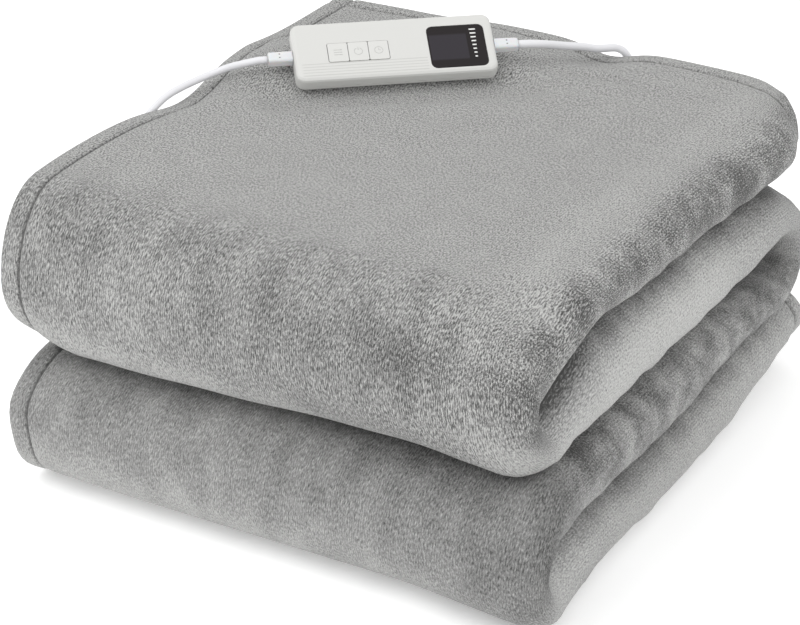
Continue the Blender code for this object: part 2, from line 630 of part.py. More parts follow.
# ---- build ----------------------------------------------------------------
def main():
    flannel = finish_material("flannel", (0.33, 0.33, 0.32), 0.95)
    shell = finish_material("handset_plastic", (0.80, 0.80, 0.78), 0.45)
    keys = finish_material("key_plastic", (0.82, 0.82, 0.80), 0.50)
    glass = finish_material("display_glass", (0.02, 0.02, 0.022), 0.08)
    rubber = finish_material("cord_rubber", (0.82, 0.82, 0.82), 0.50)
    brass = finish_material("pin_metal", (0.75, 0.73, 0.70), 0.25, 1.0)

    build_blanket(flannel)
    build_handset(shell, glass, keys)
    build_reliefs(rubber)
    build_tube("blanket_lead", (*relief_exit(-1), *BLANKET_LEAD), LEAD_WIDTH, rubber)
    build_block("lead_connector", *CONNECTOR_BOX, 0.003, rubber)
    build_block("blanket_socket", *SOCKET_BOX, 0.003, rubber)
    build_tube("mains_lead", (*relief_exit(1), *MAINS_LEAD), MAINS_WIDTH, rubber)
    build_coil(rubber)
    build_tube("mains_tail", MAINS_TAIL, MAINS_WIDTH, rubber)
    build_plug(rubber, brass)
    for thing in list(bpy.data.objects):
        thing.location += Vector(MIDDLE_SHIFT)


main()
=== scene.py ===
# %% [markdown]
# # An electric blanket, folded for storage
# The real object is one flannel sheet, about 1.5 by 1.6 metres, folded in four across and
# then back and forth into a stack of four leaves. A handset with a small display lies on
# top. A short lead joins it to the blanket, and a longer one goes to the wall. The packed
# model gives every piece its place, and this script gives the pieces their finish.

# %% [markdown]
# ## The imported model
# Its solids are loaded as they are and never moved, because the part's checks were made on
# them. New pieces ride on its bodies, and a new piece may stand in for a plainer solid.

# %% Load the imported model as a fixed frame
import math

import bpy
import numpy as np
from mathutils import Matrix, Vector


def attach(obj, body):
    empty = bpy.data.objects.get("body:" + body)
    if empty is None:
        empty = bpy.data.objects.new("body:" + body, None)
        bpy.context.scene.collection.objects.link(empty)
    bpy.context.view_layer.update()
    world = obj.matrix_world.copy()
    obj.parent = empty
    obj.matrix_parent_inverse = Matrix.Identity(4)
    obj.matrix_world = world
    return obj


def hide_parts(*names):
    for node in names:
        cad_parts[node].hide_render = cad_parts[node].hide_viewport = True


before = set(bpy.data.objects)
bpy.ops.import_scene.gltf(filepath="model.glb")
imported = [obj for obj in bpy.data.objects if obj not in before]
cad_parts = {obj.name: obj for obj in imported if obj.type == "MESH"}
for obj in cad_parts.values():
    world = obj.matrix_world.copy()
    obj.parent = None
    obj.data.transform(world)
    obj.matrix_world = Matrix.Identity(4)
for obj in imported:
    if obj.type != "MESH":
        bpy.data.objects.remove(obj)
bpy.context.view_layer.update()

# %% [markdown]
# ## Camera
# A long lens from high on the right, as product photographs are taken, so that the stack's
# edges stay almost parallel. Its rotation is built from two angles: how far it has swung
# round the stack, and how far it looks down.

# %% Camera
CAMERA_TURN = math.radians(29.856)
CAMERA_DROP = math.radians(27.655)
CAMERA_PLACE = (0.8581, -1.5305, 1.0043)
LENS_MM = 133.7

camera_data = bpy.data.cameras.new("studio_camera")
camera_data.lens = LENS_MM
camera_data.sensor_width = 36.0
camera = bpy.data.objects.new("studio_camera", camera_data)
camera.location = CAMERA_PLACE
camera.rotation_euler = (math.pi / 2 - CAMERA_DROP, 0.0, CAMERA_TURN)
bpy.context.scene.collection.objects.link(camera)
bpy.context.scene.camera = camera
print("camera:", LENS_MM, "mm lens")

# %% [markdown]
# ## Floor and light
# A pale sweep of floor and one large soft lamp high on the left, with a weaker one on the
# right. The sky around them is an even white, which is what a light tent gives.


# %% Floor and light
def link(name, data):
    """Puts new data into the scene as an object at the origin."""
    thing = bpy.data.objects.new(name, data)
    bpy.context.scene.collection.objects.link(thing)
    return thing


def colour(digits):
    """sRGB hex digits turned to the linear red, green, blue and alpha of a shader socket."""
    values = [int(digits[k:k + 2], 16) / 255 for k in (0, 2, 4)]
    return [v / 12.92 if v <= 0.04045 else ((v + 0.055) / 1.055) ** 2.4 for v in values] + [1.0]


def lamp(name, place, target, size, watts):
    """A square area lamp at a place, facing a target."""
    data = bpy.data.lights.new(name, "AREA")
    data.size = size
    data.energy = watts
    thing = link(name, data)
    thing.location = place
    thing.rotation_euler = (Vector(target) - Vector(place)).to_track_quat("-Z", "Y").to_euler()


TENT_STRENGTH = 0.98
LAMP_TARGET = (0.0, 0.0, 0.12)      # the middle of the stack

world = bpy.data.worlds.new("light_tent")
world.use_nodes = True
tent = world.node_tree.nodes["Background"]
tent.inputs["Color"].default_value = colour("FFFFFF")
tent.inputs["Strength"].default_value = TENT_STRENGTH
bpy.context.scene.world = world
bpy.context.scene.view_settings.view_transform = "Standard"
lamp("key_lamp", (-0.6, -1.3, 2.1), LAMP_TARGET, size=1.4, watts=17.0)
lamp("fill_lamp", (1.9, -0.9, 1.1), LAMP_TARGET, size=1.0, watts=6.0)
print("light: tent, key and fill")


# %% [markdown]
# ## Helpers for surfaces and finishes
# Every new piece is a grid of points worked out with numpy. A finish is a few shader nodes,
# and one small function adds a node together with its settings and links.


# %% Helpers
def add(tree, kind, sockets=None, **settings):
    """Adds one shader node; a socket takes a value, or (node, output) to link it."""
    node = tree.nodes.new(kind)
    for name, value in settings.items():
        setattr(node, name, value)
    for key, value in (sockets or {}).items():
        if isinstance(value, tuple) and isinstance(value[0], bpy.types.Node):
            tree.links.new(value[0].outputs[value[1]], node.inputs[key])
        else:
            node.inputs[key].default_value = value
    return node


def new_finish(name, base, roughness, **sockets):
    """A material with one Principled shader; its plain values sit on the shader's own sockets."""
    material = bpy.data.materials.new(name)
    material.use_nodes = True
    shader = material.node_tree.nodes["Principled BSDF"]
    shader.inputs["Base Color"].default_value = colour(base)
    shader.inputs["Roughness"].default_value = roughness
    for key, value in sockets.items():
        shader.inputs[key.replace("_", " ")].default_value = value
    return material, material.node_tree, shader


def mesh_piece(name, points, faces, material, body, replaced=(), uv=None):
    """A mesh from arrays of points and faces, riding on a body."""
    mesh = bpy.data.meshes.new(name)
    places = np.asarray(points, float).reshape(-1, 3).tolist()
    mesh.from_pydata(places, [], [tuple(face) for face in faces])
    if uv is not None:
        layer = mesh.uv_layers.new(name="flat_cloth")
        corners = np.empty(len(mesh.loops), dtype=np.int64)
        mesh.loops.foreach_get("vertex_index", corners)
        layer.data.foreach_set("uv", np.asarray(uv, float).reshape(-1, 2)[corners].ravel())
    mesh.materials.append(material)
    mesh.shade_smooth()
    thing = link(name, mesh)
    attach(thing, body)
    if replaced:
        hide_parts(*replaced)
    return thing


def grid_faces(rows, columns):
    """Quads between the rows of a grid whose last column joins its first."""
    row, column = np.meshgrid(np.arange(rows - 1), np.arange(columns), indexing="ij")
    ahead = (column + 1) % columns
    a, b = row * columns + column, row * columns + ahead
    return np.stack([a, b, b + columns, a + columns], -1).reshape(-1, 4)


def capped(rings):
    """Faces of a closed body through rings of points: its grid and two end caps."""
    rows, columns = rings.shape[:2]
    faces = grid_faces(rows, columns).tolist()
    last = (rows - 1) * columns
    return faces + [list(range(columns))[::-1], [last + k for k in range(columns)]]


def dress(finish, *names):
    """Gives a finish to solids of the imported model."""
    for name in names:
        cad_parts[name].data.materials[0] = finish


print("helpers ready")

# %% [markdown]
# ## Where the stack and its handset lie
# The part's own numbers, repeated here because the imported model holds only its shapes.

# %% Sizes and places
MIDDLE_SHIFT = np.array([0.0012, -0.0058, 0.0])
HANDSET_LENGTH, HANDSET_WIDTH, HANDSET_DEPTH = 0.138, 0.0480, 0.0130
HANDSET_SEAT = np.array([-0.0800, 0.0975, 0.2185])
HANDSET_TURN, HANDSET_TILT = math.radians(39.0), math.radians(30.0)
RELIEF_HEIGHT, RELIEF_LENGTH = 0.0065, 0.0165

lie = Matrix.Rotation(HANDSET_TURN, 3, "Z") @ Matrix.Rotation(HANDSET_TILT, 3, "X")
handset_axes = np.array(lie)                     # columns: length, up the face, out of the face
handset_seat = HANDSET_SEAT + MIDDLE_SHIFT


def on_handset(points):
    """Handset coordinates, from the middle of its underside, turned to the part's frame."""
    return np.asarray(points, float) @ handset_axes.T + handset_seat


print("handset seat:", handset_seat.round(4).tolist())


# %% [markdown]
# ## Cords
# Both cords are soft white flex. A tube is a circle carried along a path: each ring lies in
# the plane that is square to the path, and is turned as little as possible from the ring
# before, so that the surface doesn't twist.


# %% Cord shapes
def smooth_path(route, spacing):
    """A smooth curve through the route's points (centripetal Catmull-Rom), evenly resampled."""
    points = np.asarray(route, float)
    points = np.vstack([2 * points[0] - points[1], points, 2 * points[-1] - points[-2]])
    dense = []
    share = np.linspace(0.0, 1.0, 24, endpoint=False)[:, None]
    for p0, p1, p2, p3 in zip(points, points[1:], points[2:], points[3:]):
        t1 = np.linalg.norm(p1 - p0) ** 0.5
        t2 = t1 + np.linalg.norm(p2 - p1) ** 0.5
        t3 = t2 + np.linalg.norm(p3 - p2) ** 0.5
        t = t1 + (t2 - t1) * share
        a1 = p0 + (p1 - p0) * t / t1
        a2 = p1 + (p2 - p1) * (t - t1) / (t2 - t1)
        a3 = p2 + (p3 - p2) * (t - t2) / (t3 - t2)
        b1 = a1 + (a2 - a1) * t / t2
        b2 = a2 + (a3 - a2) * (t - t1) / (t3 - t1)
        dense.append(b1 + (b2 - b1) * (t - t1) / (t2 - t1))
    dense = np.vstack(dense + [points[-2:-1]])
    return evenly(dense, spacing)


def evenly(points, spacing):
    """The same path with its points an even distance apart."""
    steps = np.linalg.norm(np.diff(points, axis=0), axis=1)
    run = np.concatenate([[0.0], np.cumsum(steps)])
    wanted = np.linspace(0.0, run[-1], max(2, round(run[-1] / spacing)) + 1)
    return np.stack([np.interp(wanted, run, points[:, k]) for k in range(3)], 1)


def path_length(points):
    """The sum of the distances between neighbouring points."""
    return float(np.linalg.norm(np.diff(points, axis=0), axis=1).sum())


def tube(points, radius, sides=16):
    """Rings of a tube: path point + radius (cos v, sin v) in the plane square to the path."""
    ahead = np.gradient(points, axis=0)
    ahead /= np.linalg.norm(ahead, axis=1)[:, None]
    side = np.cross(ahead[0], (0.0, 0.0, 1.0) if abs(ahead[0][2]) < 0.9 else (1.0, 0.0, 0.0))
    sideways = [side / np.linalg.norm(side)]
    for heading in ahead[1:]:
        side = sideways[-1] - heading * (sideways[-1] @ heading)
        sideways.append(side / np.linalg.norm(side))
    sideways = np.array(sideways)
    upward = np.cross(ahead, sideways)
    turn = np.linspace(0.0, 2 * np.pi, sides, endpoint=False)
    width = np.broadcast_to(radius, (len(points),))[:, None, None]
    cosine, sine = np.cos(turn)[None, :, None], np.sin(turn)[None, :, None]
    return points[:, None] + width * (cosine * sideways[:, None] + sine * upward[:, None])


# soft PVC, extruded: a faint orange peel and a soft, broad highlight
flex, nodes, shader = new_finish("soft_pvc_flex", "DEDEE1", 0.42, Coat_Weight=0.10)
grain = add(nodes, "ShaderNodeTexNoise", {"Vector": (add(nodes, "ShaderNodeTexCoord"), "Object"),
                                          "Scale": 900.0, "Detail": 2.0})
bump = add(nodes, "ShaderNodeBump", {
    "Height": (grain, "Fac"), "Strength": 0.10, "Distance": 0.0002})
nodes.links.new(bump.outputs["Normal"], shader.inputs["Normal"])
print("cord shapes ready")

# %% [markdown]
# ### Mains lead
# The mains lead leaves the handset's right end, dips over the blanket's rear edge, drops to
# the floor and is wound there into a coil of seven turns behind the stack. Each turn of the
# coil is a circle that steps one cord's width inward just before it closes; the lower layer
# winds inward and the upper one back outward.

# %% Mains lead
MAINS_WIDTH, LEAD_WIDTH = 0.0056, 0.0050
CORD_STEP = 0.003                   # distance between the rings of a cord
COIL_TURNS = 7.25
COIL_MIDDLE = np.array([-0.0069, 0.2900]) + MIDDLE_SHIFT[:2]
COIL_RADII = (0.0404, 0.0348, 0.0292, 0.0236)
STRAIGHT_EXIT = 0.006               # a cord runs straight this far out of its relief


def relief_exit(side):
    """Two points where a cord leaves its strain relief squarely."""
    reach = HANDSET_LENGTH / 2 + RELIEF_LENGTH + 0.0006
    return on_handset([(side * (reach + step), 0.0, RELIEF_HEIGHT)
                       for step in (0.0, STRAIGHT_EXIT)])


MAINS_ROUTE = np.array((
    (0.0005, 0.1625, 0.2219), (0.0035, 0.1715, 0.2188), (0.0072, 0.1820, 0.2151),
    (0.0112, 0.1910, 0.2122), (0.0155, 0.1990, 0.2098), (0.0198, 0.2065, 0.2068),
    (0.0240, 0.2145, 0.2050), (0.0276, 0.2232, 0.2029), (0.0303, 0.2318, 0.1974),
    (0.0322, 0.2382, 0.1880), (0.0331, 0.2418, 0.1760), (0.0335, 0.2430, 0.1600),
    (0.0335, 0.2430, 0.1000), (0.0335, 0.2420, 0.0420), (0.0335, 0.2445, 0.0220),
    (0.0335, 0.2520, 0.0090), (0.0335, 0.2620, 0.0034), (0.0335, 0.2700, 0.0030)))
MAINS_TAIL = np.array((
    (-0.0315, 0.3304, 0.0084), (-0.0459, 0.3304, 0.0080), (-0.0589, 0.3304, 0.0073),
    (-0.0718, 0.3304, 0.0070)))


def coil_path(turns, spacing):
    """Radius by angle: flat for most of a turn, then one cord's width nearer by a smooth step."""
    theta = np.linspace(0.0, 2 * np.pi * turns, 1600)
    lap = np.floor(theta / (2 * np.pi) + 1e-9)
    step = np.clip((theta / (2 * np.pi) - lap - 0.80) / 0.20, 0.0, 1.0)
    step = step * step * (3 - 2 * step)
    radii = np.array(COIL_RADII + COIL_RADII[::-1])
    layer = np.array([0.0] * 4 + [1.0] * 4)
    lap = lap.astype(int)
    following = np.minimum(lap + 1, len(radii) - 1)
    radius = radii[lap] + (radii[following] - radii[lap]) * step
    height = MAINS_WIDTH * (0.5 + layer[lap] + (layer[following] - layer[lap]) * step)
    x, y = COIL_MIDDLE[0] + radius * np.cos(theta), COIL_MIDDLE[1] + radius * np.sin(theta)
    return evenly(np.stack([x, y, height], 1), spacing)


def from_relief(side, route):
    """A smooth path that leaves a strain relief squarely and follows the route."""
    exit_points = relief_exit(side)
    route = np.vstack([exit_points[1:], route + MIDDLE_SHIFT])
    return [exit_points[:1], smooth_path(route, CORD_STEP)]


mains_path = evenly(np.vstack(from_relief(1, MAINS_ROUTE) + [
    coil_path(COIL_TURNS, CORD_STEP),
    smooth_path(MAINS_TAIL + MIDDLE_SHIFT, CORD_STEP)]), CORD_STEP)
rings = tube(mains_path, MAINS_WIDTH / 2)
mains_cord = mesh_piece("mains_cord", rings, capped(rings), flex, "stack",
                        ("mains_lead", "mains_coil", "mains_tail"))
print("mains lead:", round(path_length(mains_path), 3), "m")

# %% [markdown]
# ### Blanket lead
# The blanket's own lead is thinner. It follows the left hem for a hand's width, drops over
# the edge and ends in the connector that clips into the blanket's socket.

# %% Blanket lead
LEAD_ROUTE = np.array((
    (-0.1625, 0.0330, 0.2198), (-0.1720, 0.0318, 0.2157), (-0.1800, 0.0270, 0.2120),
    (-0.1865, 0.0185, 0.2092), (-0.1917, 0.0070, 0.2070), (-0.1965, -0.0045, 0.2038),
    (-0.2003, -0.0155, 0.1980), (-0.2038, -0.0240, 0.1900), (-0.2062, -0.0295, 0.1795),
    (-0.2078, -0.0325, 0.1670), (-0.2088, -0.0340, 0.1540), (-0.2095, -0.0345, 0.1200),
    (-0.2095, -0.0345, 0.0430), (-0.2095, -0.0290, 0.0190), (-0.2098, -0.0140, 0.0062),
    (-0.2100, 0.0060, 0.0028), (-0.2092, 0.0240, 0.0045), (-0.2078, 0.0444, 0.0090)))
lead_path = evenly(np.vstack(from_relief(-1, LEAD_ROUTE)), CORD_STEP)
rings = tube(lead_path, LEAD_WIDTH / 2)
lead_cord = mesh_piece("blanket_cord", rings, capped(rings), flex, "stack",
                       ("blanket_lead",))
print("blanket lead:", round(path_length(lead_path), 3), "m")

dress(flex, "plug_body", "lead_connector", "blanket_socket")
# brass, nickel plated and barrel polished: bright metal with a slightly soft reflection
pins, nodes, shader = new_finish("plated_brass_pins", "D8D2C4", 0.22, Metallic=1.0)
dress(pins, "plug_pin_a", "plug_pin_b")

# %% [markdown]
# ## The blanket
# Each point of the flat cloth is placed by two lengths: how far it lies across a leaf, and
# how far along the chain of leaves. A path of straight runs and half-round folds turns each
# length into a place, first across one leaf, then along all four. The stack then settles:
# its leaves sink, its corners draw in and the handset presses a seat. A cloth simulation
# could fold a sheet too, but sixteen layers would hardly land in the same place twice, so the
# fold is worked out and every crease can be set.

# %% Blanket sizes
FOOT_X, FOOT_Y = 0.375, 0.407
CLOTH, LEAF, LEAF_GAP = 0.0085, 0.0477, 0.0030
PITCH, HEIGHT = LEAF + LEAF_GAP, 4 * LEAF + 3 * LEAF_GAP
TURN = PITCH / 2
OUTER_FOLD = (LEAF - CLOTH) / 2
INNER_FOLD = OUTER_FOLD / 3
HEM_STEP, FOLD_CLEAR = 0.006, 0.004
HEM_ROUND = 0.003
LEAF_TOPS = (
    # left front, right front, left rear, right rear
    (0.041, 0.048, 0.045, 0.067),   # leaf 4, the lowest
    (0.086, 0.099, 0.093, 0.102),   # leaf 3
    (0.148, 0.170, 0.150, 0.164),   # leaf 2
    (0.207, 0.209, 0.204, 0.205),   # leaf 1, the top
)
CROWN, SEAT_AIR = 0.002, 0.0040
LIFT = (0.0, 0.30, 0.68, 1.0)        # share of a lift in the top leaf that each layer takes
HEM_LIFT = 0.018            # leaf 2's underside rises this far at its front hem corner
HEM_DIP = 0.005             # and leaf 3's top sinks this far below it
REAR_DROP = 0.016           # leaf 2's top sinks this far at the rear end of its folded edge
# At the folded end each front fold's middle is drawn forward: where it was (y, z), how far
# it moves, and how far the pull reaches in front, behind, above and below.
UPPER_PULL = ((-0.154, 0.175), (-0.039, -0.022), (0.0495, 0.028, 0.060, 0.070))
LOWER_PULL = ((-0.154, 0.048), (-0.036, 0.012), (0.0495, 0.040, 0.050, 0.046))
print("leaf", LEAF, "m thick, stack", HEIGHT, "m high")


# %% The folded path
def ease(x, low, high):
    """0 below low, 1 above high, and a smooth step between."""
    t = np.clip((x - low) / (high - low), 0.0, 1.0)
    return t * t * (3.0 - 2.0 * t)


def hump(x, middle, reach):
    """1 at the middle, dying away over the reach (a bell curve)."""
    return np.exp(-((x - middle) / reach) ** 2)


def across_steps():
    """One leaf's layers from its outer hem: length of each run, radius and side of its fold."""
    outer = FOOT_X / 2 - CLOTH / 2 - OUTER_FOLD
    inner = FOOT_X / 2 - 1.5 * CLOTH - FOLD_CLEAR - INNER_FOLD
    near_hem = -FOOT_X / 2 + CLOTH / 2 + INNER_FOLD + HEM_STEP
    return ((outer + FOOT_X / 2, OUTER_FOLD, -1), (outer - near_hem, INNER_FOLD, -1),
            (inner - near_hem, INNER_FOLD, 1), (inner + FOOT_X / 2 - HEM_STEP, 0.0, 0))


def along_steps():
    """The four leaves from the top one's rear hem: run, radius and side of the fold."""
    end = FOOT_Y - (LEAF / 2 + TURN)
    middle = end - (LEAF / 2 + TURN)
    return ((end, TURN, 1), (middle, TURN, -1), (middle, TURN, 1), (end, 0.0, 0))


def walk(start, heading, steps, lengths):
    """Places and left-hand normals along straight runs that end in half-round folds."""
    place = np.array(start, float)
    points, normals = np.zeros((len(lengths), 2)), np.zeros((len(lengths), 2))
    done = 0.0
    for run, radius, side in steps:
        ahead = np.array([math.cos(heading), math.sin(heading)])
        left = np.array([-ahead[1], ahead[0]])
        here = (lengths > done - 1e-9) | (done == 0.0)
        points[here] = place + (lengths[here] - done)[:, None] * ahead
        normals[here] = left
        place, done = place + run * ahead, done + run
        if radius > 0.0:
            here = lengths > done
            turn = ((lengths[here] - done) / radius)[:, None]
            centre = place + side * radius * left
            away = np.cos(turn) * (-side * left) + np.sin(turn) * ahead
            points[here], normals[here] = centre + radius * away, -side * away
            place = centre + side * radius * left
            heading, done = heading + side * math.pi, done + math.pi * radius
    return points, normals


ACROSS = sum(run + math.pi * radius for run, radius, side in across_steps())
ALONG = sum(run + math.pi * radius for run, radius, side in along_steps())
print("flat cloth:", round(ACROSS, 3), "x", round(ALONG, 3), "m")


# %% How the stack settles
def level_heights(x, y):
    """Heights of the floor and of the four leaf tops over the plan."""
    right = np.clip(x / FOOT_X + 0.5, 0.0, 1.0)
    rear = np.clip(y / FOOT_Y + 0.5, 0.0, 1.0)
    levels = [np.zeros_like(x)]
    for left_front, right_front, left_rear, right_rear in LEAF_TOPS:
        front_height = left_front + (right_front - left_front) * right
        rear_height = left_rear + (right_rear - left_rear) * right
        levels.append(front_height + (rear_height - front_height) * rear)
    # at the folded end the creases sag between the corners and rise towards the front folds
    folded_end = ease(x, 0.06, 0.17)
    levels[3] += folded_end * 0.008 * hump(y, -0.125, 0.045)
    front = ease(-y, 0.130, 0.185)
    levels[2] += front * (0.012 * ease(x, 0.150, 0.190) - 0.005 * hump(x, 0.140, 0.040))
    levels[1] -= folded_end * 0.011 * hump(y, 0.000, 0.080)
    half_x = np.clip(x / FOOT_X, -0.5, 0.5) * math.pi
    half_y = np.clip(y / FOOT_Y, -0.5, 0.5) * math.pi
    levels[4] += CROWN * np.cos(half_x) * np.cos(half_y)
    return np.stack(levels)


def settle(points):
    """Leaves of even thickness sink to the heights that the stack's weight gives them."""
    even = np.arange(5) * PITCH - LEAF_GAP * np.array([0.0, 0.5, 0.5, 0.5, 1.0])
    levels = level_heights(points[..., 0], points[..., 1])
    z = points[..., 2]
    leaf = np.clip(np.searchsorted(even, z, side="right") - 1, 0, 3)
    share = (z - even[leaf]) / (even[leaf + 1] - even[leaf])
    low = np.take_along_axis(levels, leaf[None], 0)[0]
    high = np.take_along_axis(levels, leaf[None] + 1, 0)[0]
    hem_front = ease(-points[..., 0], 0.145, 0.200) * ease(-points[..., 1], 0.130, 0.190)
    fold_rear = ease(points[..., 0], 0.110, 0.175) * ease(points[..., 1], 0.120, 0.190)
    low = low + HEM_LIFT * (leaf == 2) * hem_front
    high = high - REAR_DROP * (leaf == 2) * fold_rear - HEM_DIP * (leaf == 1) * hem_front
    points[..., 2] = low + (high - low) * share
    return levels[4]


def pinch(points, hub, shift, reach):
    """At the folded end, a front fold's middle is drawn to the front corner; its outside stays."""
    front, behind, above, below = reach
    gate = ease(points[..., 0], 0.115, 0.172)
    away_y, away_z = points[..., 1] - hub[0], points[..., 2] - hub[1]
    away = np.hypot(away_y / np.where(away_y < 0, front, behind),
                    away_z / np.where(away_z < 0, below, above))
    pull = np.clip(1.0 - away, 0.0, 1.0) * gate
    points[..., 1] += shift[0] * pull
    points[..., 2] += shift[1] * pull


def spread(points):
    """Plan outline of the stack: drawn-in corners, a bowed rear edge, tiers a little out of line.

    Heights gate each term: the sole on the floor, the brow of the lower tier, the upper tier
    and the top, and the notches where the rear ends of the leaves part.
    """
    x, y, z = (points[..., k].copy() for k in range(3))
    upper = ease(z, 0.085, 0.125)
    top = ease(z, 0.15, 0.19)
    sole = 1.0 - ease(z, 0.0, 0.050)
    notches = hump(z, 0.062, 0.012) + 1.2 * hump(z, 0.152, 0.014)
    brow = ease(z, 0.035, 0.065) * (1.0 - upper)
    left, right = ease(-x, 0.08, 0.1875), ease(x, 0.08, 0.18)
    front, rear = ease(-y, 0.10, 0.2035), ease(y, 0.05, 0.20)
    corner = ease(y, 0.13, 0.2035) * ease(x, 0.12, 0.1875)
    points[..., 0] += 0.008 * ease(y, 0.0, 0.2) * ease(x, 0.0, 0.18) - 0.018 * corner ** 2 * top
    points[..., 0] += right * (0.012 * front - 0.018 * sole * ease(y, 0.06, 0.19)) * (1.0 - upper)
    points[..., 0] += (0.003 * right * (1.0 - upper) * ease(-y, -0.10, 0.0)
                       - corner * (0.010 * notches + 0.005 * (1.0 - top)))
    points[..., 0] -= left * (0.010 * upper * hump(y, -0.11, 0.10) + 0.002 + 0.006 * brow)
    points[..., 1] += (rear * (0.016 * hump(x, 0.05, 0.15) + 0.004)
                       - 0.008 * corner * (1 + 1.2 * top))
    points[..., 1] += (0.002 + 0.002 * upper) * left * front - 0.002 * (1 - upper) * front
    points[..., 1] -= 0.010 * (1 - upper) * right * front


# ridges in the top leaf: middle in x and y, turn, length, width and rise
TOP_RIDGES = (
    (0.058, 0.172, -0.15, 0.040, 0.0060, 0.0024),
    (0.040, 0.150, 0.10, 0.034, 0.0070, 0.0020),
    (0.096, 0.178, -0.30, 0.030, 0.0065, 0.0016),
    (-0.150, 0.010, 0.80, 0.030, 0.0065, 0.0016),
)


def top_ripples(x, y, along, across):
    """A ridge and a dip behind the handset, and ridges near the mains lead and the left hem."""
    ridge, dip = 0.0020 * hump(across, 0.058, 0.009), 0.0020 * hump(across, 0.045, 0.008)
    ripples = np.exp(-(along / 0.085) ** 4) * (ridge - dip)
    fan = 0.0
    for middle_x, middle_y, turn, length, width, rise in TOP_RIDGES:
        run = (x - middle_x) * math.cos(turn) + (y - middle_y) * math.sin(turn)
        side = -(x - middle_x) * math.sin(turn) + (y - middle_y) * math.cos(turn)
        profile = hump(side, 0.0, width) - 0.8 * hump(side, 1.7 * width, width)
        fan = fan + rise * hump(run, 0.0, length) * profile
    return ripples + fan


def lift_and_press(points, top_height, weight):
    """The handset's swell and its seat, the left hem's droop, and the mains lead's notch."""
    x, y = points[..., 0], points[..., 1]
    seat_x, seat_y, seat_z = HANDSET_SEAT
    along = (x - seat_x) * math.cos(HANDSET_TURN) + (y - seat_y) * math.sin(HANDSET_TURN)
    across = -(x - seat_x) * math.sin(HANDSET_TURN) + (y - seat_y) * math.cos(HANDSET_TURN)
    behind = across - 0.020
    swell = 0.0205 * np.exp(-(behind / np.where(behind > 0, 0.044, 0.026)) ** 2)
    swell = swell * np.exp(-(along / np.where(along < 0, 0.104, 0.088)) ** 4)
    swell = swell + top_ripples(x, y, along, across)
    droop = 0.0085 * ease(-x, 0.158, 0.190) * hump(y, 0.006, 0.040)
    notch = 0.0085 * hump(x, 0.024, 0.024) * ease(y, 0.165, 0.210)
    half_width = HANDSET_WIDTH / 2 * math.cos(HANDSET_TILT)
    underside = seat_z + np.clip(across, -half_width, half_width) * math.tan(HANDSET_TILT)
    sides = ease(HANDSET_LENGTH / 2 + 0.034 - np.abs(along), 0.0, 0.016)
    ends = ease(half_width + 0.036 - np.abs(across), 0.0, 0.016)
    pressed = np.maximum(top_height + swell - (underside - SEAT_AIR), 0.0) * sides * ends
    points[..., 2] += weight * (swell - droop - notch - pressed)


def sheet_points(across, depths, along):
    """Points of the sheet by length across a leaf, depth from mid-cloth and length along."""
    section, section_normal = walk((-FOOT_X / 2, OUTER_FOLD), 0.0, across_steps(), across)
    leaf, leaf_normal = walk((FOOT_Y / 2, HEIGHT - LEAF / 2), math.pi, along_steps(), along)
    rise = np.broadcast_to(1.0, (len(along), 1))
    x = rise * (section[:, 0] + section_normal[:, 0] * depths)
    level = rise * (section[:, 1] + section_normal[:, 1] * depths)
    step = LEAF / 2 + np.array([-OUTER_FOLD, -INNER_FOLD, INNER_FOLD, OUTER_FOLD])
    layer_faces = np.stack([step - CLOTH / 2, step + CLOTH / 2], 1).ravel()
    share = np.interp(level + LEAF / 2, layer_faces, np.repeat(LIFT, 2))
    # the rear fold stays open: its layers are pressed outward
    runs = along_steps()
    fold_middle = runs[0][0] + math.pi * TURN + runs[1][0] + math.pi * TURN / 2
    hollow = hump(along, fold_middle, 0.075)[:, None] * (0.12 + 0.22 * ease(x, 0.0, 0.17))
    level = -LEAF / 2 + (level + LEAF / 2) * (1.0 - hollow)
    points = np.stack([x, leaf[:, None, 0] - leaf_normal[:, None, 0] * level,
                       leaf[:, None, 1] - leaf_normal[:, None, 1] * level], -1)
    top_leaf = ease(points[..., 2], HEIGHT - LEAF - LEAF_GAP, HEIGHT - LEAF)
    top_height = settle(points)
    pinch(points, *UPPER_PULL)
    pinch(points, *LOWER_PULL)
    spread(points)
    lift_and_press(points, top_height, share * top_leaf)
    return points + MIDDLE_SHIFT


print("settling ready")


# %% [markdown]
# ### The cloth's mesh
# The grid is fine where the cloth shows, on the top, the front folds and the folded edge,
# and coarser where layers hide each other, which keeps it under 200,000 triangles.


# %% Blanket mesh
def graded(steps, spacings):
    """Lengths along a path of runs and folds; each run or fold has its own spacing."""
    lengths, done = [], 0.0
    for (run, radius, _), (run_step, fold_step) in zip(steps, spacings):
        for size, step in ((run, run_step), (math.pi * radius, fold_step)):
            if size > 0.0:
                count = max(1, round(size / step))
                lengths.append(done + size * np.arange(count) / count)
                done += size
    return np.concatenate(lengths + [[done]])


STITCHES = 0.0150            # distance of the hem's stitched groove from its edge
LIP = 0.0045                 # the hem's edge is rounded over this width
HEM_ZONE = 0.020             # nearer to a hem than this, the grid takes NEAR_HEM's steps
NEAR_HEM = np.array([0.0008, 0.0018, 0.0030, 0.0045, 0.0070, 0.0100, 0.0125,
                     0.0137, 0.0144, 0.0150, 0.0156, 0.0163, 0.0175, 0.0195])


def hem_thickness(edge):
    """Share of full thickness by distance from a hem: round lip, plump hem, stitch groove."""
    lip = np.sqrt(np.clip(1.0 - (1.0 - np.clip(edge / LIP, 0.0, 1.0)) ** 2, 0.0, 1.0))
    return lip * (1.0 - 0.45 * hump(edge, STITCHES, 0.0011) - 0.10 * hump(edge, STITCHES, 0.0040))


